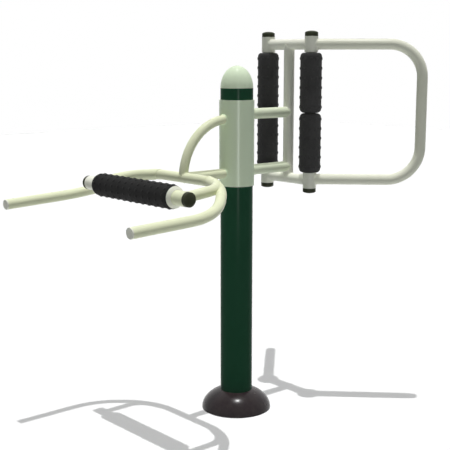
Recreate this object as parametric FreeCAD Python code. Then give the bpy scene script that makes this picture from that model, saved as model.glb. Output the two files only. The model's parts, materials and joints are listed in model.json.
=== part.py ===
import FreeCAD, Part
import math
import os

# Outdoor waist and back massager. Millimetres, +Z up, origin on the post's axis at ground level.
# The back station, with its upright rollers and hand loops, is on the +X side of the post.
# The waist station, with its level roller and bow handles, is on the -X side.
# Right is the -Y side and left is the +Y side; the machine is the same on both.

# Clearances
weld_gap = 0.1
slip_fit = 0.25
press_fit = 0.05
bush_running_fit = 0.05
thread_fit = 0.1
end_play = 0.3

# Post and its cap
post_od = 114.0
post_wall = 4.0
post_top = 1154.0
post_cap_height = 77.0
post_cap_wall = 3.0
post_cap_plug = 30.0
crown_flat = 1.0

# Base flange, gussets and cover
flange_od = 220.0
flange_thickness = 12.0
anchor_circle = 176.0
anchor_count = 4
anchor_hole = 18.0
anchor_first_angle = 45.0
gusset_reach = 45.0
gusset_height = 45.0
gusset_toe = 10.0
gusset_thickness = 8.0
cover_od = 249.0
cover_dome_height = 78.0
cover_wall = 3.0

# Collar that carries both stations
collar_od = 122.5
collar_bottom = 816.0
collar_top = 1114.0

# Back station frame
rail_od = 38.0
rail_wall = 2.5
mast_x = 253.0
upper_support_z = 1063.0
lower_support_z = 865.0
bottom_rail_z = 827.0
top_rail_z = 1304.5
back_roller_y = 110.0
loop_reach = 390.0
loop_bend_radius = 116.0
loop_angle = 45.0

# Bosses, end caps and axle hardware
boss_od = 48.0
back_boss_length = 56.0
bottom_boss_drop = 4.5
counterbore_d = 38.0
counterbore_depth = 20.0
end_cap_od = 47.0
end_cap_height = 19.0
end_cap_skirt = 11.5
end_cap_wall = 2.5
end_cap_plug = 10.0
axle_d = 20.0
axle_thread_d = 16.0
axle_shoulder_setback = 0.5
nut_across_flats = 24.0
nut_height = 12.0
nut_washer_od = 30.0
nut_washer_hole = 17.0
nut_washer_thickness = 2.5
thread_beyond_nut = 2.0

# Rollers
drum_od = 46.0
drum_wall = 3.0
bush_length = 20.0
bush_flange_od = 44.0
bush_flange_thickness = 3.0
thrust_washer_od = 40.0
thrust_washer_thickness = 1.5
sleeve_od = 76.4
back_sleeve_end_radius = 14.5
waist_sleeve_end_radius = 1.5
sleeve_end_land = 0.5
nub_pitch = 34.0
nub_end_margin = 17.0
nub_base_d = 12.0
nub_top_d = 7.0
nub_height = 2.0
nub_root = 1.5
nubs_per_ring = 12
first_nub_angle = 15.0

# Waist station: level roller
waist_x = -435.0
waist_z = 835.0
waist_boss_gap = 429.0
waist_boss_length = 51.5
end_disc_od = 70.0
end_disc_thickness = 5.0
end_disc_rim = 2.0
end_disc_lip_od = 50.0
end_disc_lip_gap = 0.5

# Waist station: bow handle, roller arms, stub and brace
bow_od = 34.5
bow_wall = 2.5
bow_apex_x = -238.0
bow_apex_z = 861.0
bow_apex_corner_y = 205.0
handle_y = 355.0
handle_corner_x = -390.0
handle_corner_z = 790.5
handle_end_x = -709.0
handle_end_z = 776.0
bow_bend_radius = 230.0
arm_corner_x = -278.0
arm_corner_rise = 18.0
arm_bend_radius = 80.0
arm_root_y = 130.0
brace_od = 32.0
brace_top_z = 1048.0
brace_lean = 5.5
brace_foot = 4.0
brace_foot_out = 1.0
handle_plug_thickness = 4.0
handle_plug_chamfer = 1.0
handle_plug_length = 20.0

# Sizes worked out from the ones above
post_r = post_od / 2
post_inner_r = post_r - post_wall
collar_r = collar_od / 2
rail_r = rail_od / 2
boss_r = boss_od / 2
axle_r = axle_d / 2
thread_r = axle_thread_d / 2
drum_r = drum_od / 2
drum_inner_r = drum_r - drum_wall
bow_r = bow_od / 2
bow_inner_r = bow_r - bow_wall
brace_r = brace_od / 2
sleeve_r = sleeve_od / 2
waist_boss_inner = waist_boss_gap / 2
arm_y = waist_boss_inner + waist_boss_length / 2
bottom_boss_z = bottom_rail_z - bottom_boss_drop
back_boss_bottom_face = bottom_boss_z + back_boss_length / 2
back_boss_top_face = top_rail_z - back_boss_length / 2
back_roller_gap = back_boss_top_face - back_boss_bottom_face
back_roller_length = (back_roller_gap - 3 * thrust_washer_thickness - 4 * end_play) / 2
waist_roller_length = waist_boss_gap - 2 * thrust_washer_thickness - 2 * end_play

up = FreeCAD.Vector(0, 0, 1)
ground = FreeCAD.Vector(0, 0, 0)
sides = {"right": -1, "left": 1}
crossbar_heights = {"bottom": bottom_boss_z, "top": top_rail_z}


def point(x, y, z):
    return FreeCAD.Vector(x, y, z)


def main_solid(shape):
    """The largest solid of a shape; offcuts from a cope are dropped."""
    return max(shape.Solids, key=lambda solid: solid.Volume)


def placed(shape, origin, direction):
    """A shape made along +Z from zero, moved to start at origin and run along direction."""
    placement = FreeCAD.Placement(origin, FreeCAD.Rotation(up, direction))
    return shape.transformed(placement.toMatrix(), True)


def rod(start, end, radius):
    run = end - start
    return Part.makeCylinder(radius, run.Length, start, run)


def ring(outer_r, inner_r, height, base=0.0):
    """A ring about the Z axis that stands on z = base."""
    origin = point(0, 0, base)
    return Part.makeCylinder(outer_r, height, origin).cut(Part.makeCylinder(inner_r, height, origin))


def section(centre, direction, outer_r, inner_r):
    """The face that a tube, or a bar where inner_r is zero, has square to its axis."""
    rim = Part.Wire(Part.makeCircle(outer_r, centre, direction))
    if inner_r == 0:
        return Part.Face(rim)
    hole = Part.Wire(Part.makeCircle(inner_r, centre, direction))
    return Part.makeFace([rim, hole], "Part::FaceMakerBullseye")


def bent(corners, bend_r, outer_r, inner_r=0.0):
    """A tube through the corners, each inner corner rounded by an arc of the bend radius."""
    pieces = []
    start = corners[0]
    for before, corner, after in zip(corners, corners[1:], corners[2:]):
        into = (corner - before).normalize()
        out = (after - corner).normalize()
        turn = into.getAngle(out)
        tangent = bend_r * math.tan(turn / 2)
        arc_start = corner - into * tangent
        axis = into.cross(out).normalize()
        centre = arc_start + axis.cross(into) * bend_r
        pieces.append(section(start, into, outer_r, inner_r).extrude(arc_start - start))
        bend = section(arc_start, into, outer_r, inner_r)
        pieces.append(bend.revolve(centre, axis, math.degrees(turn)))
        start = corner + out * tangent
    last = corners[-1] - start
    pieces.append(section(start, last, outer_r, inner_r).extrude(last))
    return main_solid(pieces[0].multiFuse(pieces[1:]).removeSplitter())


def turned(edges):
    """The solid turned about the Z axis by a closed profile in the XZ plane."""
    profile = Part.Face(Part.Wire(Part.__sortEdges__(edges)))
    return main_solid(profile.revolve(ground, up, 360))


def line(start, end):
    return Part.makeLine(point(start[0], 0, start[1]), point(end[0], 0, end[1]))


def lines(points):
    return [line(start, end) for start, end in zip(points, points[1:])]


def dome_height(radius, height, rim_r):
    """Height of a quarter ellipse where its radius is rim_r."""
    return height * math.sqrt(1 - (rim_r / radius) ** 2)


def dome_edge(radius, height, base, rim_r):
    """A part of an ellipse in the XZ plane, from its widest point at z = base in to the radius rim_r."""
    centre = point(0, 0, base)
    side = point(radius, 0, base)
    top = point(0, 0, base + height)
    rim = math.asin(rim_r / radius)
    if height > radius:
        return Part.ArcOfEllipse(Part.Ellipse(top, side, centre), rim, math.pi / 2).toShape()
    return Part.ArcOfEllipse(Part.Ellipse(side, top, centre), 0, math.pi / 2 - rim).toShape()


def dome_shell(outer, inner, base):
    """Edges of a domed wall between two (radius, height) ellipses, with a small flat crown."""
    edges = []
    crowns = []
    for radius, height in (outer, inner):
        crown = base + dome_height(radius, height, crown_flat)
        edges.append(dome_edge(radius, height, base, crown_flat))
        edges.append(line((crown_flat, crown), (0, crown)))
        crowns.append((0, crown))
    edges.append(line(*crowns))
    return edges


def base_flange():
    plate = Part.makeCylinder(flange_od / 2, flange_thickness)
    for step in range(anchor_count):
        hole = Part.makeCylinder(anchor_hole / 2, flange_thickness, point(anchor_circle / 2, 0, 0))
        hole.rotate(ground, up, anchor_first_angle + step * 360 / anchor_count)
        plate = plate.cut(hole)
    return plate


def base_gussets():
    """Ribs between the anchor holes, welded to the flange and to the post."""
    outer = post_r + gusset_reach
    outline = [
        (0, flange_thickness),
        (outer, flange_thickness),
        (outer, flange_thickness + gusset_toe),
        (post_r + gusset_thickness, flange_thickness + gusset_height),
        (0, flange_thickness + gusset_height),
        (0, flange_thickness),
    ]
    rib = Part.Face(Part.Wire(lines(outline))).extrude(point(0, gusset_thickness, 0))
    rib.translate(point(0, -gusset_thickness / 2, 0))
    rib = main_solid(rib.cut(Part.makeCylinder(post_r + weld_gap, post_top)))
    ribs = []
    for step in range(anchor_count):
        copy = rib.copy()
        copy.rotate(ground, up, step * 360 / anchor_count)
        ribs.append(copy)
    return ribs


def base_cover():
    """Dome shell that hides the flange and closes on the post."""
    outer_r = cover_od / 2
    inner_r = outer_r - cover_wall
    inner_height = cover_dome_height - cover_wall
    bore = post_r + slip_fit
    outer_edge = dome_edge(outer_r, cover_dome_height, 0, bore)
    inner_edge = dome_edge(inner_r, inner_height, 0, bore)
    lip = line(
        (bore, dome_height(inner_r, inner_height, bore)),
        (bore, dome_height(outer_r, cover_dome_height, bore)),
    )
    foot = line((inner_r, 0), (outer_r, 0))
    return turned([outer_edge, inner_edge, lip, foot])


def post_cap():
    """Domed cap that rests on the post's rim, with a plug ring inside the tube."""
    plug_r = post_inner_r - slip_fit
    hollow_r = plug_r - post_cap_wall
    hollow_height = post_cap_height - post_cap_wall
    dome = dome_shell((post_r, post_cap_height), (hollow_r, hollow_height), post_top)
    skirt = lines(
        [
            (hollow_r, post_top),
            (hollow_r, post_top - post_cap_plug),
            (plug_r, post_top - post_cap_plug),
            (plug_r, post_top),
            (post_r, post_top),
        ]
    )
    return turned(dome + skirt)


def boss(length):
    """Axle boss from its inner face at zero to its outer face, counterbored for the axle nut."""
    body = ring(boss_r, axle_r + press_fit, length)
    recess = Part.makeCylinder(counterbore_d / 2, counterbore_depth, point(0, 0, length - counterbore_depth))
    return body.cut(recess)


def end_cap():
    """Hollow domed cap for a boss, whose outer face is at zero, with a plug ring below it."""
    cap_r = end_cap_od / 2
    plug_r = counterbore_d / 2 - slip_fit
    hollow_r = plug_r - end_cap_wall
    dome_rise = end_cap_height - end_cap_skirt
    dome = dome_shell((cap_r, dome_rise), (hollow_r, dome_rise - end_cap_wall), end_cap_skirt)
    skirt = lines(
        [
            (hollow_r, end_cap_skirt),
            (hollow_r, -end_cap_plug),
            (plug_r, -end_cap_plug),
            (plug_r, 0),
            (cap_r, 0),
            (cap_r, end_cap_skirt),
        ]
    )
    return turned(dome + skirt)


def axle(seat_span):
    """Axle about zero whose thinner ends pass the two nut seats, seat_span apart."""
    shank = seat_span - 2 * axle_shoulder_setback
    beyond_seat = nut_washer_thickness + nut_height + thread_beyond_nut
    whole = seat_span + 2 * beyond_seat
    thread = Part.makeCylinder(thread_r, whole, point(0, 0, -whole / 2))
    return main_solid(thread.fuse(Part.makeCylinder(axle_r, shank, point(0, 0, -shank / 2))))


def nut():
    corner_r = nut_across_flats / 2 / math.cos(math.pi / 6)
    corners = [
        point(corner_r * math.cos(step * math.pi / 3), corner_r * math.sin(step * math.pi / 3), 0)
        for step in range(7)
    ]
    block = Part.Face(Part.makePolygon(corners)).extrude(point(0, 0, nut_height))
    return block.cut(Part.makeCylinder(thread_r + thread_fit, nut_height))


def nut_washer():
    return ring(nut_washer_od / 2, nut_washer_hole / 2, nut_washer_thickness)


def thrust_washer():
    return ring(thrust_washer_od / 2, axle_r + slip_fit, thrust_washer_thickness)


def bush():
    """Flanged bush: the flange starts at zero, the body runs into the drum."""
    body = ring(drum_inner_r - press_fit, axle_r + bush_running_fit, bush_length, bush_flange_thickness)
    flange = ring(bush_flange_od / 2, axle_r + bush_running_fit, bush_flange_thickness)
    return main_solid(flange.fuse(body).removeSplitter())


def sleeve(length, end_radius):
    """Rubber sleeve with rounded ends and rings of massage nubs."""
    bore = drum_r + press_fit
    end_radius = min(end_radius, sleeve_r - bore - sleeve_end_land)
    diagonal = end_radius * (1 - math.sqrt(0.5))
    edges = lines([(sleeve_r - end_radius, 0), (bore, 0), (bore, length), (sleeve_r - end_radius, length)])
    edges.append(line((sleeve_r, end_radius), (sleeve_r, length - end_radius)))
    for end, inward in ((0, 1), (length, -1)):
        arc = Part.Arc(
            point(sleeve_r - end_radius, 0, end),
            point(sleeve_r - diagonal, 0, end + inward * diagonal),
            point(sleeve_r, 0, end + inward * end_radius),
        )
        edges.append(arc.toShape())
    body = turned(edges)
    rings = int((length - 2 * nub_end_margin) / nub_pitch) + 1
    first = (length - (rings - 1) * nub_pitch) / 2
    step = 360 / nubs_per_ring
    nubs = []
    for row in range(rings):
        root = point(sleeve_r - nub_root, 0, first + row * nub_pitch)
        for column in range(nubs_per_ring):
            nub = Part.makeCone(nub_base_d / 2, nub_top_d / 2, nub_root + nub_height, root, point(1, 0, 0))
            nub.rotate(ground, up, first_nub_angle + column * step)
            nubs.append(nub)
    return main_solid(body.multiFuse(nubs))


def roller(name, origin, direction, length, sleeve_shape, sleeve_start):
    """Drum, pair of bushes and sleeve of one roller that starts at origin."""
    drum = ring(drum_r, drum_inner_r, length - 2 * bush_flange_thickness, bush_flange_thickness)
    far_end = origin + direction * length
    save(name + "_drum", placed(drum, origin, direction))
    bushes = [placed(bush(), origin, direction), placed(bush(), far_end, direction * -1)]
    save(name + "_bushes", bushes)
    save(name + "_sleeve", placed(sleeve_shape, origin + direction * sleeve_start, direction))


def save(name, shape):
    if isinstance(shape, list):
        shape = Part.Compound(shape)
    shape.exportStep(os.path.join("parts", name + ".step"))


os.makedirs("parts", exist_ok=True)

# Post and base
save("base_flange", base_flange())
save("base_gussets", base_gussets())
save("base_cover", base_cover())
save("post_tube", ring(post_r, post_inner_r, post_top - flange_thickness, flange_thickness))
save("post_cap", post_cap())
save("arm_collar", ring(collar_r, post_r + slip_fit, collar_top - collar_bottom, collar_bottom))
collar_cut = Part.makeCylinder(collar_r + weld_gap, collar_top, ground)

# Back station: supports, mast and crossbars
rail_inner_r = rail_r - rail_wall
mast_foot = point(mast_x, 0, crossbar_heights["bottom"])
mast_head = point(mast_x, 0, crossbar_heights["top"])
mast_cut = rod(mast_foot, mast_head, rail_r + weld_gap)
for name, z in (("upper_support", upper_support_z), ("lower_support", lower_support_z)):
    support = bent([point(0, 0, z), point(mast_x, 0, z)], 0, rail_r, rail_inner_r)
    save(name, main_solid(support.cut(collar_cut).cut(mast_cut)))

mast = bent([mast_foot, mast_head], 0, rail_r, rail_inner_r)
for z in crossbar_heights.values():
    across = rod(point(mast_x, -back_roller_y, z), point(mast_x, back_roller_y, z), rail_r + weld_gap)
    mast = mast.cut(across)
save("back_mast", main_solid(mast))

boss_cuts = {}
for side, sign in sides.items():
    foot = point(mast_x, sign * back_roller_y, bottom_boss_z - back_boss_length)
    boss_cuts[side] = Part.makeCylinder(boss_r + weld_gap, top_rail_z - foot.z + back_boss_length, foot)
for level, z in crossbar_heights.items():
    ends = [point(mast_x, -back_roller_y, z), point(mast_x, back_roller_y, z)]
    crossbar = bent(ends, 0, rail_r, rail_inner_r)
    save(level + "_crossbar", main_solid(crossbar.cut(boss_cuts["right"]).cut(boss_cuts["left"])))

# Back station: hand loops, bosses, caps and axles
nut_seats = []
thrust_washers = []
caps_made = end_cap()
for side, sign in sides.items():
    lean = math.radians(loop_angle)
    reach = point(math.cos(lean), sign * math.sin(lean), 0) * loop_reach
    low = point(mast_x, sign * back_roller_y, bottom_rail_z)
    high = point(mast_x, sign * back_roller_y, top_rail_z)
    loop = bent([low, low + reach, high + reach, high], loop_bend_radius, rail_r, rail_inner_r)
    save(side + "_hand_loop", main_solid(loop.cut(boss_cuts[side])))

    low_boss = low - up * bottom_boss_drop
    for level, middle, outward in (("bottom", low_boss, up * -1), ("top", high, up)):
        inner_face = middle - outward * (back_boss_length / 2)
        outer_face = middle + outward * (back_boss_length / 2)
        save(side + "_" + level + "_boss", placed(boss(back_boss_length), inner_face, outward))
        save(side + "_" + level + "_cap", placed(caps_made, outer_face, outward))
        nut_seats.append((outer_face - outward * counterbore_depth, outward))
        if level == "bottom":
            thrust_washers.append((inner_face, up))
        else:
            thrust_washers.append((inner_face - up * thrust_washer_thickness, up))

    seat_span = top_rail_z - bottom_boss_z + back_boss_length - 2 * counterbore_depth
    save(side + "_axle", placed(axle(seat_span), (low_boss + high) * 0.5, up))

# Back station: two rollers on each axle, apart by one thrust washer
back_sleeve = sleeve(back_roller_length, back_sleeve_end_radius)
for side, sign in sides.items():
    lower_start = back_boss_bottom_face + thrust_washer_thickness + end_play
    middle_washer = lower_start + back_roller_length + end_play
    upper_start = middle_washer + thrust_washer_thickness + end_play
    thrust_washers.append((point(mast_x, sign * back_roller_y, middle_washer), up))
    for level, z in (("lower", lower_start), ("upper", upper_start)):
        start = point(mast_x, sign * back_roller_y, z)
        roller(side + "_" + level, start, up, back_roller_length, back_sleeve, 0)

# Waist station: bow handle and its end plugs
bow_corners = []
for sign in (-1, 1):
    half = [
        point(handle_end_x, sign * handle_y, handle_end_z),
        point(handle_corner_x, sign * handle_y, handle_corner_z),
        point(bow_apex_x, sign * bow_apex_corner_y, bow_apex_z),
    ]
    bow_corners += half if sign < 0 else half[::-1]
save("handle_bow", bent(bow_corners, bow_bend_radius, bow_r, bow_inner_r))
bow_cut = bent(bow_corners, bow_bend_radius, bow_r + weld_gap)

plug_head = Part.makeCylinder(bow_r, handle_plug_thickness - handle_plug_chamfer)
plug_edge = Part.makeCone(
    bow_r,
    bow_r - handle_plug_chamfer,
    handle_plug_chamfer,
    point(0, 0, handle_plug_thickness - handle_plug_chamfer),
)
plug_stem = Part.makeCylinder(bow_inner_r - slip_fit, handle_plug_length, point(0, 0, -handle_plug_length))
plug = main_solid(plug_head.multiFuse([plug_edge, plug_stem]))
for side, end, before in (("right", 0, 1), ("left", -1, -2)):
    save(side + "_handle_plug", placed(plug, bow_corners[end], bow_corners[end] - bow_corners[before]))

# Waist station: stub and brace from the collar to the bow
apex = point(bow_apex_x, 0, bow_apex_z)
stub_end = point(0, 0, bow_apex_z)
stub = bent([apex, stub_end], 0, bow_r, bow_inner_r)
save("bow_stub", main_solid(stub.cut(collar_cut).cut(bow_cut)))
stub_cut = rod(apex, stub_end, bow_r + weld_gap)

# The brace leans inward at its foot and still rises by the same angle where it lands on the collar
tilt = math.radians(brace_lean)
rising = point(math.sin(tilt), 0, math.cos(tilt))
levelling = point(math.cos(tilt), 0, math.sin(tilt))
brace_start = apex - point(brace_foot_out, 0, 0)
brace_landing = point(-collar_r, 0, brace_top_z)
span = brace_landing - brace_start
lower_run = (span.z * math.cos(tilt) - span.x * math.sin(tilt)) / math.cos(2 * tilt)
upper_run = (span.x * math.cos(tilt) - span.z * math.sin(tilt)) / math.cos(2 * tilt)
half_turn = math.pi / 4 - tilt
brace_bend_radius = (min(lower_run, upper_run) - brace_foot) / math.tan(half_turn)
brace_corners = [brace_start, brace_start + rising * lower_run, brace_landing + levelling * collar_r]
brace = bent(brace_corners, brace_bend_radius, brace_r, brace_r - bow_wall)
save("bow_brace", main_solid(brace.cut(collar_cut).cut(bow_cut).cut(stub_cut)))

# Waist station: roller arms, bosses and caps
waist_boss_cut = rod(
    point(waist_x, -waist_boss_inner - waist_boss_length, waist_z),
    point(waist_x, waist_boss_inner + waist_boss_length, waist_z),
    boss_r + weld_gap,
)
for side, sign in sides.items():
    arm_corners = [
        point(waist_x, sign * arm_y, waist_z),
        point(arm_corner_x, sign * arm_y, waist_z + arm_corner_rise),
        point(bow_apex_x, sign * arm_root_y, bow_apex_z),
    ]
    arm = bent(arm_corners, arm_bend_radius, bow_r, bow_inner_r)
    save(side + "_roller_arm", main_solid(arm.cut(waist_boss_cut).cut(bow_cut)))

    outward = point(0, sign, 0)
    inner_face = point(waist_x, sign * waist_boss_inner, waist_z)
    outer_face = inner_face + outward * waist_boss_length
    save(side + "_waist_boss", placed(boss(waist_boss_length), inner_face, outward))
    save(side + "_waist_cap", placed(caps_made, outer_face, outward))
    nut_seats.append((outer_face - outward * counterbore_depth, outward))
    thrust_washers.append((inner_face, outward * -1))

# Waist station: axle and roller with its end discs
waist_seat_span = waist_boss_gap + 2 * (waist_boss_length - counterbore_depth)
across = point(0, 1, 0)
save("waist_axle", placed(axle(waist_seat_span), point(waist_x, 0, waist_z), across))
waist_start = point(waist_x, -waist_roller_length / 2, waist_z)
waist_drum_length = waist_roller_length - 2 * bush_flange_thickness
waist_sleeve_length = waist_drum_length - 2 * (end_disc_thickness + weld_gap)
waist_sleeve = sleeve(waist_sleeve_length, waist_sleeve_end_radius)
waist_sleeve_start = bush_flange_thickness + end_disc_thickness + weld_gap
roller("waist", waist_start, across, waist_roller_length, waist_sleeve, waist_sleeve_start)

# The discs taper outward over the bushes' flanges and the thrust washers, almost to the bosses
disc_bore = drum_r + press_fit
disc_r = end_disc_od / 2
boss_face = end_disc_thickness + bush_flange_thickness + end_play + thrust_washer_thickness
disc_lip = boss_face - end_disc_lip_gap
disc_outline = [
    (disc_bore, 0),
    (disc_r, 0),
    (disc_r, end_disc_rim),
    (end_disc_lip_od / 2, disc_lip),
    (disc_bore, disc_lip),
    (disc_bore, 0),
]
disc = turned(lines(disc_outline))
end_discs = []
for sign in sides.values():
    face = point(waist_x, sign * (waist_drum_length / 2 - end_disc_thickness), waist_z)
    end_discs.append(placed(disc, face, across * sign))
save("waist_end_discs", end_discs)

# Hardware that is the same on every axle
save("axle_washers", [placed(nut_washer(), seat, outward) for seat, outward in nut_seats])
nut_places = [(seat + outward * nut_washer_thickness, outward) for seat, outward in nut_seats]
save("axle_nuts", [placed(nut(), seat, outward) for seat, outward in nut_places])
save("thrust_washers", [placed(thrust_washer(), seat, direction) for seat, direction in thrust_washers])
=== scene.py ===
import json
import math

import bmesh
import bpy
from mathutils import Matrix, Vector
from mathutils.bvhtree import BVHTree


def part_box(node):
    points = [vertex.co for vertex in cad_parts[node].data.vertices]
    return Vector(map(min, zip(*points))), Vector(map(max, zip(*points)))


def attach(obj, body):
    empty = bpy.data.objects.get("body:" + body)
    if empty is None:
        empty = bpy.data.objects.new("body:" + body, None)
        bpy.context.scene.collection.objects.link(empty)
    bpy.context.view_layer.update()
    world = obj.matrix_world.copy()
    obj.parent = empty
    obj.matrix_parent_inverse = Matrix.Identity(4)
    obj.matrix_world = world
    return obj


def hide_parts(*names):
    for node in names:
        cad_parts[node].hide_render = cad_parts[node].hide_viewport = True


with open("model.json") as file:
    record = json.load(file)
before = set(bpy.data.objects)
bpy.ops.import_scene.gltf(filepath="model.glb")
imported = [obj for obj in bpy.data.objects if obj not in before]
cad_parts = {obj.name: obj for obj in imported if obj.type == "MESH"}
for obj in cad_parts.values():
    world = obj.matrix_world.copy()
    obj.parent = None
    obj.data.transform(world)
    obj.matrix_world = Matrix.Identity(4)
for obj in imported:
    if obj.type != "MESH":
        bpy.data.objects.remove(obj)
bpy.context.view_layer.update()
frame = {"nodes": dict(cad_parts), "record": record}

# Outdoor waist and back massager: metres, +Z up, origin on the post's axis at ground level.
print("frame loaded:", len(frame["nodes"]), "nodes")


# Camera

cameraLook = {
    "place": (-2.2352, -2.5166, 1.2560),
    "heading": 40.915,  # degrees from +Y towards +X
    "tiltDown": 9.83,
    "lens": 77.04,  # mm on the sensor below
    "sensor": 36.0,
    "farthest": 100.0,  # metres that it sees
}

cameraData = bpy.data.cameras.new("photoCamera")
cameraData.lens = cameraLook["lens"]
cameraData.sensor_width = cameraLook["sensor"]
cameraData.clip_end = cameraLook["farthest"]
camera = bpy.data.objects.new("photoCamera", cameraData)
camera.location = cameraLook["place"]
camera.rotation_euler = (
    math.radians(90 - cameraLook["tiltDown"]),
    0,
    math.radians(-cameraLook["heading"]),
)
bpy.context.scene.collection.objects.link(camera)
bpy.context.scene.camera = camera
bpy.context.scene.view_settings.view_transform = "Standard"
print("camera placed")


# Node helpers

mixSockets = {"first": 6, "second": 7, "result": 2}  # the colour sockets of a Mix node


def emptyTree(owner):
    owner.use_nodes = True
    owner.node_tree.nodes.clear()
    return owner.node_tree


def addNode(tree, kind, values=None, **settings):
    node = tree.nodes.new(kind)
    for name, value in settings.items():
        setattr(node, name, value)
    for socket, value in (values or {}).items():
        node.inputs[socket].default_value = value
    return node


def mathNode(tree, operation, first, second=None):
    node = addNode(tree, "ShaderNodeMath", operation=operation)
    for place, value in enumerate((first, second)):
        if value is None:
            continue
        if isinstance(value, (int, float)):
            node.inputs[place].default_value = value
        else:
            tree.links.new(value, node.inputs[place])
    return node.outputs[0]


def mixColour(tree, factor, first, second):
    mix = addNode(tree, "ShaderNodeMix", data_type="RGBA")
    tree.links.new(factor, mix.inputs["Factor"])
    tree.links.new(first, mix.inputs[mixSockets["first"]])
    if isinstance(second, tuple):
        mix.inputs[mixSockets["second"]].default_value = (*second, 1)
    else:
        tree.links.new(second, mix.inputs[mixSockets["second"]])
    return mix.outputs[mixSockets["result"]]


def newGroup(name, kind, inputs, outputs):
    group = bpy.data.node_groups.new(name, kind)
    for direction, sockets in (("INPUT", inputs), ("OUTPUT", outputs)):
        for label, socketType, default in sockets:
            socket = group.interface.new_socket(label, in_out=direction, socket_type=socketType)
            if default is not None:
                socket.default_value = default
    return group, group.nodes.new("NodeGroupInput"), group.nodes.new("NodeGroupOutput")


# Shader groups that the finishes share

def makeMottleGroup():
    # Slow changes of tone and gloss, as in a sprayed or moulded skin.
    group, enter, leave = newGroup(
        "mottle",
        "ShaderNodeTree",
        [
            ("Vector", "NodeSocketVector", None),
            ("Colour", "NodeSocketColor", (0.5, 0.5, 0.5, 1)),
            ("Second Colour", "NodeSocketColor", (0.4, 0.4, 0.4, 1)),
            ("Scale", "NodeSocketFloat", 6.0),
            ("Amount", "NodeSocketFloat", 0.2),
            ("Roughness", "NodeSocketFloat", 0.4),
            ("Roughness Spread", "NodeSocketFloat", 0.05),
        ],
        [("Colour", "NodeSocketColor", None), ("Roughness", "NodeSocketFloat", None)],
    )
    noise = addNode(group, "ShaderNodeTexNoise", {"Detail": 4.0, "Roughness": 0.55})
    group.links.new(enter.outputs["Vector"], noise.inputs["Vector"])
    group.links.new(enter.outputs["Scale"], noise.inputs["Scale"])
    spread = addNode(group, "ShaderNodeMapRange", {"From Min": 0.3, "From Max": 0.7})
    group.links.new(noise.outputs["Fac"], spread.inputs["Value"])
    factor = mathNode(group, "MULTIPLY", spread.outputs["Result"], enter.outputs["Amount"])
    tone = mixColour(group, factor, enter.outputs["Colour"], enter.outputs["Second Colour"])
    group.links.new(tone, leave.inputs["Colour"])
    centred = mathNode(group, "SUBTRACT", spread.outputs["Result"], 0.5)
    change = mathNode(group, "MULTIPLY", centred, enter.outputs["Roughness Spread"])
    group.links.new(mathNode(group, "ADD", enter.outputs["Roughness"], change), leave.inputs["Roughness"])
    return group


def makeGrainGroup():
    # Fine relief: orange peel in paint, grain in a moulding.
    group, enter, leave = newGroup(
        "grain",
        "ShaderNodeTree",
        [
            ("Vector", "NodeSocketVector", None),
            ("Scale", "NodeSocketFloat", 300.0),
            ("Strength", "NodeSocketFloat", 0.2),
            ("Depth", "NodeSocketFloat", 0.0003),
        ],
        [("Normal", "NodeSocketVector", None)],
    )
    noise = addNode(group, "ShaderNodeTexNoise", {"Detail": 2.0, "Roughness": 0.5})
    group.links.new(enter.outputs["Vector"], noise.inputs["Vector"])
    group.links.new(enter.outputs["Scale"], noise.inputs["Scale"])
    bump = addNode(group, "ShaderNodeBump")
    group.links.new(noise.outputs["Fac"], bump.inputs["Height"])
    group.links.new(enter.outputs["Strength"], bump.inputs["Strength"])
    group.links.new(enter.outputs["Depth"], bump.inputs["Distance"])
    group.links.new(bump.outputs["Normal"], leave.inputs["Normal"])
    return group


def makeEdgeWearGroup():
    # Mask that is high along outer edges, broken up by noise.
    group, enter, leave = newGroup(
        "edgeWear",
        "ShaderNodeTree",
        [
            ("Vector", "NodeSocketVector", None),
            ("Width", "NodeSocketFloat", 0.001),
            ("Amount", "NodeSocketFloat", 0.3),
        ],
        [("Mask", "NodeSocketFloat", None)],
    )
    bevel = addNode(group, "ShaderNodeBevel", samples=4)
    group.links.new(enter.outputs["Width"], bevel.inputs["Radius"])
    surface = addNode(group, "ShaderNodeNewGeometry")
    lean = addNode(group, "ShaderNodeVectorMath", operation="DOT_PRODUCT")
    group.links.new(bevel.outputs["Normal"], lean.inputs[0])
    group.links.new(surface.outputs["Normal"], lean.inputs[1])
    edge = addNode(
        group,
        "ShaderNodeMapRange",
        {"From Min": 0.995, "From Max": 0.9, "To Min": 0.0, "To Max": 1.0},
    )
    group.links.new(lean.outputs["Value"], edge.inputs["Value"])
    noise = addNode(group, "ShaderNodeTexNoise", {"Scale": 90.0, "Detail": 4.0})
    group.links.new(enter.outputs["Vector"], noise.inputs["Vector"])
    broken = addNode(group, "ShaderNodeMapRange", {"From Min": 0.4, "From Max": 0.6})
    group.links.new(noise.outputs["Fac"], broken.inputs["Value"])
    worn = mathNode(group, "MULTIPLY", edge.outputs["Result"], broken.outputs["Result"])
    group.links.new(mathNode(group, "MULTIPLY", worn, enter.outputs["Amount"]), leave.inputs["Mask"])
    return group


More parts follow.
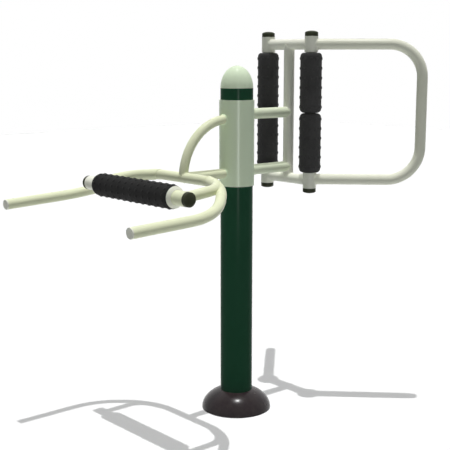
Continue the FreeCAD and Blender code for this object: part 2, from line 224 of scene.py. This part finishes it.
def makeDustGroup():
    # Mask for dust: on faces that look up, and more of it near the ground.
    group, enter, leave = newGroup(
        "settledDust",
        "ShaderNodeTree",
        [
            ("Vector", "NodeSocketVector", None),
            ("Amount", "NodeSocketFloat", 0.1),
            ("Splash Height", "NodeSocketFloat", 0.12),
        ],
        [("Mask", "NodeSocketFloat", None)],
    )
    surface = addNode(group, "ShaderNodeNewGeometry")
    facing = addNode(group, "ShaderNodeSeparateXYZ")
    group.links.new(surface.outputs["Normal"], facing.inputs["Vector"])
    upward = addNode(group, "ShaderNodeMapRange", {"From Min": 0.4, "From Max": 1.0})
    group.links.new(facing.outputs["Z"], upward.inputs["Value"])
    place = addNode(group, "ShaderNodeSeparateXYZ")
    group.links.new(enter.outputs["Vector"], place.inputs["Vector"])
    low = addNode(group, "ShaderNodeMapRange", {"From Min": 0.0, "To Min": 1.0, "To Max": 0.0})
    group.links.new(place.outputs["Z"], low.inputs["Value"])
    group.links.new(enter.outputs["Splash Height"], low.inputs["From Max"])
    both = mathNode(group, "MAXIMUM", upward.outputs["Result"], low.outputs["Result"])
    noise = addNode(group, "ShaderNodeTexNoise", {"Scale": 35.0, "Detail": 6.0, "Roughness": 0.65})
    group.links.new(enter.outputs["Vector"], noise.inputs["Vector"])
    patchy = addNode(group, "ShaderNodeMapRange", {"From Min": 0.35, "From Max": 0.75})
    group.links.new(noise.outputs["Fac"], patchy.inputs["Value"])
    mask = mathNode(group, "MULTIPLY", both, patchy.outputs["Result"])
    group.links.new(mathNode(group, "MULTIPLY", mask, enter.outputs["Amount"]), leave.inputs["Mask"])
    return group


mottleGroup = makeMottleGroup()
grainGroup = makeGrainGroup()
edgeWearGroup = makeEdgeWearGroup()
dustGroup = makeDustGroup()
print("shader groups built")


# Finishes: one dictionary each, named like the record's material slots

finishLooks = {
    "cream_paint": {
        "colour": (0.83, 0.865, 0.61),
        "secondColour": (0.79, 0.825, 0.57),
        "mottleScale": 7.0,
        "mottleAmount": 0.5,
        "roughness": 0.27,
        "roughnessSpread": 0.05,
        "grainScale": 420.0,
        "grainStrength": 0.10,
        "grainDepth": 0.0002,
        "wearColour": (0.62, 0.63, 0.55),
        "wearWidth": 0.0012,
        "wearAmount": 0.35,
        "dustColour": (0.60, 0.57, 0.47),
        "dustAmount": 0.05,
        "specular": 0.10,
        "metallic": 0.0,
    },
    "green_paint": {
        "colour": (0.016, 0.073, 0.037),
        "secondColour": (0.020, 0.080, 0.043),
        "mottleScale": 5.0,
        "mottleAmount": 0.8,
        "roughness": 0.24,
        "roughnessSpread": 0.06,
        "grainScale": 420.0,
        "grainStrength": 0.10,
        "grainDepth": 0.0002,
        "wearColour": (0.10, 0.14, 0.12),
        "wearWidth": 0.0015,
        "wearAmount": 0.4,
        "dustColour": (0.16, 0.17, 0.14),
        "dustAmount": 0.12,
        "specular": 0.02,
        "metallic": 0.0,
    },
    "dark_cover": {
        "colour": (0.021, 0.014, 0.016),
        "secondColour": (0.015, 0.011, 0.013),
        "mottleScale": 9.0,
        "mottleAmount": 0.9,
        "roughness": 0.24,
        "roughnessSpread": 0.06,
        "grainScale": 520.0,
        "grainStrength": 0.12,
        "grainDepth": 0.0002,
        "wearColour": (0.12, 0.11, 0.10),
        "wearWidth": 0.002,
        "wearAmount": 0.4,
        "dustColour": (0.20, 0.17, 0.14),
        "dustAmount": 0.10,
        "specular": 0.19,
        "metallic": 0.0,
    },
    "black_rubber": {
        "colour": (0.006, 0.006, 0.006),
        "secondColour": (0.009, 0.009, 0.009),
        "mottleScale": 14.0,
        "mottleAmount": 0.7,
        "roughness": 0.86,
        "roughnessSpread": 0.12,
        "grainScale": 900.0,
        "grainStrength": 0.35,
        "grainDepth": 0.0003,
        "wearColour": (0.05, 0.05, 0.05),
        "wearWidth": 0.0008,
        "wearAmount": 0.3,
        "dustColour": (0.08, 0.075, 0.07),
        "dustAmount": 0.06,
        "specular": 0.48,
        "metallic": 0.0,
    },
    "black_plastic": {
        "colour": (0.044, 0.050, 0.028),
        "secondColour": (0.038, 0.042, 0.026),
        "mottleScale": 20.0,
        "mottleAmount": 0.6,
        "roughness": 0.45,
        "roughnessSpread": 0.1,
        "grainScale": 700.0,
        "grainStrength": 0.25,
        "grainDepth": 0.0002,
        "wearColour": (0.09, 0.09, 0.08),
        "wearWidth": 0.001,
        "wearAmount": 0.4,
        "dustColour": (0.12, 0.12, 0.10),
        "dustAmount": 0.08,
        "specular": 0.08,
        "metallic": 0.0,
    },
    "plated_steel": {
        "colour": (0.55, 0.56, 0.57),
        "secondColour": (0.42, 0.43, 0.44),
        "mottleScale": 40.0,
        "mottleAmount": 0.6,
        "roughness": 0.36,
        "roughnessSpread": 0.14,
        "grainScale": 650.0,
        "grainStrength": 0.12,
        "grainDepth": 0.0001,
        "wearColour": (0.66, 0.67, 0.68),
        "wearWidth": 0.0008,
        "wearAmount": 0.5,
        "dustColour": (0.30, 0.28, 0.25),
        "dustAmount": 0.08,
        "specular": 0.5,
        "metallic": 1.0,
    },
}

# Lit and shaded copies of the one cream paint, with light and shade painted into their colour: greener and
# brighter at the collar, darker on the supports, paler and greyer on the back station, at the level
# roller's ends and on the handle plugs, and a greyer shaded tint on the hand loops
creamLitAndShadedTones = {
    "collar_cream_painted_light": {
        "colour": (0.81, 0.94, 0.70),
        "secondColour": (0.77, 0.90, 0.66),
        "nodes": ("arm_collar", "post_cap"),
    },
    "support_cream_painted_shade": {
        "colour": (0.755, 0.82, 0.62),
        "secondColour": (0.715, 0.78, 0.58),
        "nodes": ("upper_support", "lower_support"),
    },
    "mast_cream_painted_light": {
        "colour": (0.90, 0.905, 0.79),
        "secondColour": (0.86, 0.865, 0.75),
        "nodes": (
            "back_mast",
            "top_crossbar",
            "bottom_crossbar",
            "right_top_boss",
            "left_top_boss",
            "right_bottom_boss",
            "left_bottom_boss",
            "waist_end_discs",
            "left_waist_boss",
            "right_handle_plug",
            "left_handle_plug",
        ),
    },
    "loop_cream_painted_shade": {
        "colour": (0.845, 0.855, 0.715),
        "secondColour": (0.805, 0.815, 0.675),
        "nodes": ("right_hand_loop", "left_hand_loop"),
    },
}

# The level sleeve looks towards the pale floor, so its rubber shines less
waistRubber = {"specular": 0.25}

# What all finishes share: the roughness that a full cover of dust adds
sharedLook = {"dustDulling": 0.4}


def useGroup(tree, group, coordinates, values):
    node = addNode(tree, "ShaderNodeGroup", node_tree=group)
    for socket, value in values.items():
        node.inputs[socket].default_value = value
    tree.links.new(coordinates.outputs["Object"], node.inputs["Vector"])
    return node


def makeFinish(name, look):
    material = bpy.data.materials.new(name)
    tree = emptyTree(material)
    output = addNode(tree, "ShaderNodeOutputMaterial")
    shader = addNode(tree, "ShaderNodeBsdfPrincipled")
    tree.links.new(shader.outputs["BSDF"], output.inputs["Surface"])
    coordinates = addNode(tree, "ShaderNodeTexCoord")
    mottle = useGroup(
        tree,
        mottleGroup,
        coordinates,
        {
            "Colour": (*look["colour"], 1),
            "Second Colour": (*look["secondColour"], 1),
            "Scale": look["mottleScale"],
            "Amount": look["mottleAmount"],
            "Roughness": look["roughness"],
            "Roughness Spread": look["roughnessSpread"],
        },
    )
    wear = useGroup(
        tree, edgeWearGroup, coordinates, {"Width": look["wearWidth"], "Amount": look["wearAmount"]}
    )
    dust = useGroup(tree, dustGroup, coordinates, {"Amount": look["dustAmount"]})
    grain = useGroup(
        tree,
        grainGroup,
        coordinates,
        {
            "Scale": look["grainScale"],
            "Strength": look["grainStrength"],
            "Depth": look["grainDepth"],
        },
    )
    worn = mixColour(tree, wear.outputs["Mask"], mottle.outputs["Colour"], look["wearColour"])
    dusty = mixColour(tree, dust.outputs["Mask"], worn, look["dustColour"])
    tree.links.new(dusty, shader.inputs["Base Color"])
    duller = mathNode(tree, "MULTIPLY", dust.outputs["Mask"], sharedLook["dustDulling"])
    roughness = mathNode(tree, "ADD", mottle.outputs["Roughness"], duller)
    tree.links.new(roughness, shader.inputs["Roughness"])
    tree.links.new(grain.outputs["Normal"], shader.inputs["Normal"])
    shader.inputs["Specular IOR Level"].default_value = look["specular"]
    shader.inputs["Metallic"].default_value = look["metallic"]
    return material


finishes = {name: makeFinish(name, look) for name, look in finishLooks.items()}
finishes["waist_rubber"] = makeFinish("waist_rubber", {**finishLooks["black_rubber"], **waistRubber})
litToneOf = {}
# each tone is the cream paint with painted light or painted shade in its colour, as listed above
for name, tone in creamLitAndShadedTones.items():
    colours = {key: tone[key] for key in ("colour", "secondColour")}
    finishes[name] = makeFinish(name, {**finishLooks["cream_paint"], **colours})
    for nodeName in tone["nodes"]:
        litToneOf[nodeName] = name
for part in frame["record"]["subparts"]:
    node = frame["nodes"][part["node"]]
    if not node.material_slots:
        node.data.materials.append(None)
    for materialSlot in node.material_slots:
        materialSlot.material = finishes[litToneOf.get(part["node"], part["material_slot"])]


# Mesh helpers

def newPiece(name, mesh):
    piece = bpy.data.objects.new(name, mesh)
    bpy.context.scene.collection.objects.link(piece)
    return piece


def runTree(piece, tree, values):
    # Sets the tree's inputs by identifier, keeps the result as a plain mesh and drops the modifier.
    modifier = piece.modifiers.new(tree.name, "NODES")
    modifier.node_group = tree
    for item in tree.interface.items_tree:
        if item.in_out == "INPUT" and item.name in values:
            modifier[item.identifier] = values[item.name]
    bpy.context.view_layer.update()
    depsgraph = bpy.context.evaluated_depsgraph_get()
    mesh = bpy.data.meshes.new_from_object(piece.evaluated_get(depsgraph), depsgraph=depsgraph)
    piece.modifiers.clear()
    return mesh


def lathe(name, profile, segments):
    # Turns a closed (radius, height) profile about the Z axis.
    build = bmesh.new()
    rings = []
    for step in range(segments):
        angle = 2 * math.pi * step / segments
        rings.append([
            build.verts.new((radius * math.cos(angle), radius * math.sin(angle), height))
            for radius, height in profile
        ])
    for here, there in zip(rings, rings[1:] + rings[:1]):
        for place in range(len(profile)):
            after = (place + 1) % len(profile)
            build.faces.new((here[place], there[place], there[after], here[after]))
    bmesh.ops.recalc_face_normals(build, faces=build.faces)
    for face in build.faces:
        face.smooth = True
    mesh = bpy.data.meshes.new(name)
    build.to_mesh(mesh)
    build.free()
    return mesh


# Roller sleeves with their massage nubs

sleeveLook = {
    "radius": 0.0382,
    "bore": 0.02305,
    "innerEnd": (0.0145, 0.0125),  # radius of the rounding and how deep it goes
    "outerEnd": (0.0145, 0.0085),
    "waistEnd": (0.0400, 0.0032),
    "roundSteps": 8,
    "segments": 72,
    "nubPitch": 0.034,
    "nubEndMargin": 0.017,
    "nubsPerRing": 12,
    "firstNubTurn": 0.5,  # in steps between nubs
    "nubRadius": 0.0060,
    "nubHeight": 0.0020,
    "nubSegments": 10,
    "nubSteps": 6,
    "sharpAngle": 50.0,  # degrees
}


def makeNubTree():
    tree, enter, leave = newGroup(
        "massageNubs",
        "GeometryNodeTree",
        [
            ("Geometry", "NodeSocketGeometry", None),
            ("Radius", "NodeSocketFloat", 0.03),
            ("First Height", "NodeSocketFloat", 0.0),
            ("Pitch", "NodeSocketFloat", 0.03),
            ("Rings", "NodeSocketInt", 6),
            ("Nubs Per Ring", "NodeSocketInt", 12),
            ("First Nub Turn", "NodeSocketFloat", 0.0),
            ("Nub Radius", "NodeSocketFloat", 0.005),
            ("Nub Height", "NodeSocketFloat", 0.003),
            ("Rubber", "NodeSocketMaterial", None),
        ],
        [("Geometry", "NodeSocketGeometry", None)],
    )
    tree.is_modifier = True
    link = tree.links.new
    index = addNode(tree, "GeometryNodeInputIndex").outputs[0]
    perRing = enter.outputs["Nubs Per Ring"]
    # Half a step keeps rounding errors from moving a nub to another row.
    row = mathNode(tree, "FLOOR", mathNode(tree, "DIVIDE", mathNode(tree, "ADD", index, 0.5), perRing))
    column = mathNode(tree, "SUBTRACT", index, mathNode(tree, "MULTIPLY", row, perRing))
    turn = mathNode(tree, "DIVIDE", mathNode(tree, "ADD", column, enter.outputs["First Nub Turn"]), perRing)
    angle = mathNode(tree, "MULTIPLY", turn, 2 * math.pi)
    outward = addNode(tree, "ShaderNodeCombineXYZ")
    link(mathNode(tree, "COSINE", angle), outward.inputs["X"])
    link(mathNode(tree, "SINE", angle), outward.inputs["Y"])
    climb = mathNode(tree, "MULTIPLY", row, enter.outputs["Pitch"])
    rise = mathNode(tree, "ADD", climb, enter.outputs["First Height"])
    level = addNode(tree, "ShaderNodeCombineXYZ")
    link(rise, level.inputs["Z"])
    seat = addNode(tree, "ShaderNodeVectorMath", operation="MULTIPLY_ADD")
    link(outward.outputs[0], seat.inputs[0])
    reach = addNode(tree, "ShaderNodeCombineXYZ")
    for axis in "XYZ":
        link(enter.outputs["Radius"], reach.inputs[axis])
    link(reach.outputs[0], seat.inputs[1])
    link(level.outputs[0], seat.inputs[2])
    points = addNode(tree, "GeometryNodePoints")
    link(mathNode(tree, "MULTIPLY", enter.outputs["Rings"], perRing), points.inputs["Count"])
    link(seat.outputs[0], points.inputs["Position"])
    facing = addNode(tree, "FunctionNodeAlignRotationToVector", axis="Z")
    link(outward.outputs[0], facing.inputs["Vector"])
    ball = addNode(
        tree,
        "GeometryNodeMeshUVSphere",
        {"Segments": sleeveLook["nubSegments"], "Rings": sleeveLook["nubSteps"], "Radius": 1.0},
    )
    size = addNode(tree, "ShaderNodeCombineXYZ")
    link(enter.outputs["Nub Radius"], size.inputs["X"])
    link(enter.outputs["Nub Radius"], size.inputs["Y"])
    link(enter.outputs["Nub Height"], size.inputs["Z"])
    instances = addNode(tree, "GeometryNodeInstanceOnPoints")
    link(points.outputs[0], instances.inputs["Points"])
    link(ball.outputs["Mesh"], instances.inputs["Instance"])
    link(facing.outputs[0], instances.inputs["Rotation"])
    link(size.outputs[0], instances.inputs["Scale"])
    smooth = addNode(tree, "GeometryNodeSetShadeSmooth")
    link(instances.outputs[0], smooth.inputs["Geometry"])
    join = addNode(tree, "GeometryNodeJoinGeometry")
    link(smooth.outputs[0], join.inputs[0])
    link(enter.outputs["Geometry"], join.inputs[0])
    realize = addNode(tree, "GeometryNodeRealizeInstances")
    link(join.outputs[0], realize.inputs["Geometry"])
    paint = addNode(tree, "GeometryNodeSetMaterial")
    link(enter.outputs["Rubber"], paint.inputs["Material"])
    link(realize.outputs[0], paint.inputs["Geometry"])
    link(paint.outputs[0], leave.inputs[0])
    return tree


def sleeveProfile(length, ends):
    radius = sleeveLook["radius"]
    profile = [(sleeveLook["bore"], length), (sleeveLook["bore"], 0)]
    for end, inward, (endRadius, depth) in ((0, 1, ends[0]), (length, -1, ends[1])):
        arc = []
        start = math.asin(1 - depth / endRadius)
        for step in range(sleeveLook["roundSteps"] + 1):
            angle = start + (math.pi / 2 - start) * step / sleeveLook["roundSteps"]
            arc.append((
                radius - endRadius + endRadius * math.sin(angle),
                end + inward * endRadius * (math.cos(start) - math.cos(angle)),
            ))
        profile += arc if inward > 0 else arc[::-1]
    return profile


def makeSleeve(nodeName, body, ends, axisName, finishName):
    axis = "XYZ".index(axisName)
    low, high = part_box(nodeName)
    length = (high - low)[axis]
    name = nodeName.replace("_sleeve", "_nubbed_sleeve")
    piece = newPiece(name, lathe(name, sleeveProfile(length, ends), sleeveLook["segments"]))
    rings = int((length - 2 * sleeveLook["nubEndMargin"]) / sleeveLook["nubPitch"]) + 1
    piece.data = runTree(piece, nubTree, {
        "Radius": sleeveLook["radius"],
        "First Height": (length - (rings - 1) * sleeveLook["nubPitch"]) / 2,
        "Pitch": sleeveLook["nubPitch"],
        "Rings": rings,
        "Nubs Per Ring": sleeveLook["nubsPerRing"],
        "First Nub Turn": sleeveLook["firstNubTurn"],
        "Nub Radius": sleeveLook["nubRadius"],
        "Nub Height": sleeveLook["nubHeight"],
        "Rubber": finishes[finishName],
    })
    start = (low + high) / 2
    start[axis] = low[axis]
    # The lathe turns about Z, so a sleeve along Y is laid down.
    turn = Matrix.Identity(4) if axisName == "Z" else Matrix.Rotation(math.radians(-90), 4, "X")
    piece.data.transform(Matrix.Translation(start) @ turn)
    piece.data.set_sharp_from_angle(angle=math.radians(sleeveLook["sharpAngle"]))
    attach(piece, body)
    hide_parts(nodeName)


nubTree = makeNubTree()
inner, outer, plain = sleeveLook["innerEnd"], sleeveLook["outerEnd"], sleeveLook["waistEnd"]
for side in ("right", "left"):
    for level, ends in (("upper", (inner, outer)), ("lower", (outer, inner))):
        rollerName = side + "_" + level
        makeSleeve(rollerName + "_sleeve", rollerName + "_roller", ends, "Z", "black_rubber")
makeSleeve("waist_sleeve", "waist_roller", (plain, plain), "Y", "waist_rubber")
print("sleeves made")


# Weld beads, painted over with the frame

weldLook = {
    "beadRadius": 0.0021,
    "rippleDepth": 0.06,
    "ripplePitch": 0.003,
    "stepLength": 0.0008,
    "profileSteps": 8,
    "noiseScale": 120.0,
    "seed": 4.0,
    "reach": 0.0004,  # how close to its host the end face of a coped tube is
    "facing": -0.5,  # how far that face looks towards its host, as a cosine
    "mergeDistance": 0.00001,
    "smoothPasses": 3,
}


def makeWeldTree():
    tree, enter, leave = newGroup(
        "weldBeads",
        "GeometryNodeTree",
        [
            ("Geometry", "NodeSocketGeometry", None),
            ("Bead Radius", "NodeSocketFloat", 0.003),
            ("Ripple Depth", "NodeSocketFloat", 0.1),
            ("Ripple Pitch", "NodeSocketFloat", 0.005),
            ("Step Length", "NodeSocketFloat", 0.001),
            ("Profile Steps", "NodeSocketInt", 8),
            ("Seed", "NodeSocketFloat", 1.0),
            ("Paint", "NodeSocketMaterial", None),
        ],
        [("Geometry", "NodeSocketGeometry", None)],
    )
    tree.is_modifier = True
    link = tree.links.new
    path = addNode(tree, "GeometryNodeMeshToCurve")
    link(enter.outputs["Geometry"], path.inputs[0])
    resample = addNode(tree, "GeometryNodeResampleCurve", mode="LENGTH")
    link(path.outputs[0], resample.inputs["Curve"])
    link(enter.outputs["Step Length"], resample.inputs["Length"])
    along = addNode(tree, "GeometryNodeSplineParameter")
    wave = mathNode(tree, "DIVIDE", along.outputs["Length"], enter.outputs["Ripple Pitch"])
    ripple = mathNode(tree, "SINE", mathNode(tree, "MULTIPLY", wave, 2 * math.pi))
    where = addNode(tree, "GeometryNodeInputPosition")
    weldNoise = {"Scale": weldLook["noiseScale"], "Detail": 1.0}
    noise = addNode(tree, "ShaderNodeTexNoise", weldNoise, noise_dimensions="4D")
    link(where.outputs[0], noise.inputs["Vector"])
    link(enter.outputs["Seed"], noise.inputs["W"])
    uneven = mathNode(tree, "ADD", ripple, mathNode(tree, "SUBTRACT", noise.outputs["Fac"], 0.5))
    swell = mathNode(tree, "ADD", mathNode(tree, "MULTIPLY", uneven, enter.outputs["Ripple Depth"]), 1.0)
    circle = addNode(tree, "GeometryNodeCurvePrimitiveCircle", {"Radius": 1.0})
    link(enter.outputs["Profile Steps"], circle.inputs["Resolution"])
    bead = addNode(tree, "GeometryNodeCurveToMesh")
    link(resample.outputs[0], bead.inputs["Curve"])
    link(circle.outputs["Curve"], bead.inputs["Profile Curve"])
    link(mathNode(tree, "MULTIPLY", swell, enter.outputs["Bead Radius"]), bead.inputs["Scale"])
    smooth = addNode(tree, "GeometryNodeSetShadeSmooth")
    link(bead.outputs[0], smooth.inputs["Geometry"])
    realize = addNode(tree, "GeometryNodeRealizeInstances")
    link(smooth.outputs[0], realize.inputs["Geometry"])
    paint = addNode(tree, "GeometryNodeSetMaterial")
    link(enter.outputs["Paint"], paint.inputs["Material"])
    link(realize.outputs[0], paint.inputs["Geometry"])
    link(paint.outputs[0], leave.inputs[0])
    return tree


surfaces = {}


def surfaceOf(nodeName):
    if nodeName not in surfaces:
        mesh = frame["nodes"][nodeName].data
        points = [vertex.co for vertex in mesh.vertices]
        surfaces[nodeName] = BVHTree.FromPolygons(points, [face.vertices for face in mesh.polygons])
    return surfaces[nodeName]


def rimEdges(build, hostNames):
    # Edges around a coped tube's end face, which lies on the tubes it is welded to and looks towards them.
    hosts = [surfaceOf(hostName) for hostName in hostNames]

    def onHost(face):
        middle = face.calc_center_median()
        for host in hosts:
            place, normal = host.find_nearest(middle, weldLook["reach"])[:2]
            if place and normal.dot(face.normal) < weldLook["facing"]:
                return True
        return False

    endFaces = {face for face in build.faces if onHost(face)}
    return [edge for edge in build.edges if len(endFaces.intersection(edge.link_faces)) == 1]


def longestLoop(edges):
    # The outer rim: of the closed loops that the edges make, the one that is longest.
    around = {}
    for edge in edges:
        for vertex in edge.verts:
            around.setdefault(vertex, []).append(edge)
    best = []
    bestLength = 0.0
    left = set(edges)
    while left:
        edge = left.pop()
        loop = [edge.verts[0], edge.verts[1]]
        length = edge.calc_length()
        while True:
            onward = [step for step in around[loop[-1]] if step in left]
            if not onward:
                break
            left.discard(onward[0])
            length += onward[0].calc_length()
            loop.append(onward[0].other_vert(loop[-1]))
        if loop[-1] == loop[0] and length > bestLength:
            best, bestLength = loop[:-1], length
    return [vertex.co.copy() for vertex in best]


def weldPath(nodeName, hostNames):
    build = bmesh.new()
    build.from_mesh(frame["nodes"][nodeName].data)
    bmesh.ops.remove_doubles(build, verts=build.verts, dist=weldLook["mergeDistance"])
    path = longestLoop(rimEdges(build, hostNames))
    build.free()
    for smoothing in range(weldLook["smoothPasses"]):
        path = [
            (before + here * 2 + after) / 4
            for before, here, after in zip(path[-1:] + path[:-1], path, path[1:] + path[:1])
        ]
    return path


def makeWelds(name, joints, finishName):
    build = bmesh.new()
    count = 0
    for nodeName, hostNames in joints:
        points = [build.verts.new(place) for place in weldPath(nodeName, hostNames)]
        if not points:
            print("no rim found between", nodeName, "and", hostNames)
            continue
        count += 1
        for here, there in zip(points, points[1:] + points[:1]):
            build.edges.new((here, there))
    mesh = bpy.data.meshes.new(name)
    build.to_mesh(mesh)
    build.free()
    piece = newPiece(name, mesh)
    piece.data = runTree(piece, weldTree, {
        "Bead Radius": weldLook["beadRadius"],
        "Ripple Depth": weldLook["rippleDepth"],
        "Ripple Pitch": weldLook["ripplePitch"],
        "Step Length": weldLook["stepLength"],
        "Profile Steps": weldLook["profileSteps"],
        "Seed": weldLook["seed"],
        "Paint": finishes[finishName],
    })
    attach(piece, "stand")
    print(name, "has", count, "welds of", len(joints))


collarJoints = []
backJoints = []
for supportName in ("upper_support", "lower_support"):
    collarJoints.append((supportName, ["arm_collar"]))
    backJoints.append((supportName, ["back_mast"]))
for level in ("top", "bottom"):
    barName = level + "_crossbar"
    backJoints.append(("back_mast", [barName]))
    for side in ("right", "left"):
        bossName = side + "_" + level + "_boss"
        backJoints.append((barName, [bossName]))
        backJoints.append((side + "_hand_loop", [bossName]))

collarJoints += [("bow_stub", ["arm_collar"]), ("bow_brace", ["arm_collar"])]
waistJoints = [("bow_stub", ["handle_bow"]), ("bow_brace", ["handle_bow", "bow_stub"])]
for side in ("right", "left"):
    waistJoints.append((side + "_roller_arm", ["handle_bow"]))
    waistJoints.append((side + "_roller_arm", [side + "_waist_boss"]))

weldTree = makeWeldTree()
# the welds on the collar and on the back station take the cream tones that have painted light in their
# colour
makeWelds("collar_welds", collarJoints, "collar_cream_painted_light")
makeWelds("back_frame_welds", backJoints, "mast_cream_painted_light")
makeWelds("waist_frame_welds", waistJoints, "cream_paint")


# Floor, light and background

stageLook = {
    "floorSize": 24.0,
    "floorCells": 4,
    "floorColour": (0.90, 0.90, 0.90),  # as the camera and reflections see it
    "bounceColour": (0.565, 0.575, 0.580),  # what the floor throws back on the object
    "skyColour": (0.94, 1.0, 1.05),
    "skyStrength": 0.05,
    "backdropStrength": 1.0,  # the white that the camera and reflections see
    "sunTravel": (0.04, 0.03, -1.0),
    "sunStrength": 1.87,
    "fillTravel": (-0.06, -0.01, -1.0),
    "fillStrength": 1.59,  # the part of the overhead light that reaches into shadows
    "sunGloss": 1.8,
    "glossTravel": (-0.055, 0.013, -1.0),
    "sunAngle": 0.5,  # degrees
    "sunPlace": (0, 0, 3),  # changes nothing in its light
    "stripPlace": (-1.62, -2.75, 0.72),
    "stripAim": (0.0, 0.0, 0.95),
    "stripWidth": 0.03,
    "stripHeight": 0.75,
    "stripPower": 0.8,
    "stripSpread": 20.0,  # degrees
}


def seenFactor(tree):
    # One for what the camera sees, straight or in a reflection; zero for light on the object.
    path = addNode(tree, "ShaderNodeLightPath")
    glossy = mathNode(tree, "MAXIMUM", path.outputs["Is Glossy Ray"], path.outputs["Is Transmission Ray"])
    return mathNode(tree, "MAXIMUM", path.outputs["Is Camera Ray"], glossy)


def mixSeen(tree, output, unseen, seen):
    # Shows one shader to the camera and to reflections, and lets the other light the object.
    mix = addNode(tree, "ShaderNodeMixShader")
    tree.links.new(seenFactor(tree), mix.inputs[0])
    tree.links.new(unseen.outputs[0], mix.inputs[1])
    tree.links.new(seen.outputs[0], mix.inputs[2])
    tree.links.new(mix.outputs[0], output.inputs["Surface"])


def makeFloor():
    half, cells = stageLook["floorSize"] / 2, stageLook["floorCells"]
    build = bmesh.new()
    bmesh.ops.create_grid(build, x_segments=cells, y_segments=cells, size=half)
    mesh = bpy.data.meshes.new("floor")
    build.to_mesh(mesh)
    build.free()
    material = bpy.data.materials.new("pale_floor")
    tree = emptyTree(material)
    output = addNode(tree, "ShaderNodeOutputMaterial")
    shown = addNode(tree, "ShaderNodeBsdfDiffuse", {"Color": (*stageLook["floorColour"], 1)})
    bounce = addNode(tree, "ShaderNodeBsdfDiffuse", {"Color": (*stageLook["bounceColour"], 1)})
    mixSeen(tree, output, bounce, shown)
    mesh.materials.append(material)
    newPiece("floor", mesh)


def makeWorld():
    world = bpy.data.worlds.new("studio")
    bpy.context.scene.world = world
    tree = emptyTree(world)
    output = addNode(tree, "ShaderNodeOutputWorld")
    sky = addNode(
        tree,
        "ShaderNodeBackground",
        {"Color": (*stageLook["skyColour"], 1), "Strength": stageLook["skyStrength"]},
    )
    white = addNode(
        tree,
        "ShaderNodeBackground",
        {"Color": (1, 1, 1, 1), "Strength": stageLook["backdropStrength"]},
    )
    mixSeen(tree, output, sky, white)


def addLamp(name, kind, direction, place, **settings):
    lamp = bpy.data.lights.new(name, kind)
    for setting, value in settings.items():
        setattr(lamp, setting, value)
    holder = bpy.data.objects.new(name, lamp)
    holder.location = place
    holder.rotation_euler = Vector(direction).to_track_quat("-Z", "Y").to_euler()
    bpy.context.scene.collection.objects.link(holder)
    return holder


def addSun(name, travel, strength, **settings):
    angle = math.radians(stageLook["sunAngle"])
    return addLamp(name, "SUN", travel, stageLook["sunPlace"], energy=strength, angle=angle, **settings)


makeFloor()
makeWorld()
sun = addSun("overheadSun", stageLook["sunTravel"], stageLook["sunStrength"])
sun.visible_glossy = False
fill = addSun("overheadFill", stageLook["fillTravel"], stageLook["fillStrength"], use_shadow=False)
fill.visible_glossy = False
sunGloss = addSun("overheadGloss", stageLook["glossTravel"], stageLook["sunGloss"])
sunGloss.visible_diffuse = False  # the sun's shine, weaker than its light so that pale tubes don't burn out
strip = addLamp(
    "cameraStrip",
    "AREA",
    Vector(stageLook["stripAim"]) - Vector(stageLook["stripPlace"]),
    stageLook["stripPlace"],
    shape="RECTANGLE",
    size=stageLook["stripWidth"],
    size_y=stageLook["stripHeight"],
    energy=stageLook["stripPower"],
    spread=math.radians(stageLook["stripSpread"]),
)
strip.visible_diffuse = False  # only a line of gloss, no light on the paint
print("stage and light set")
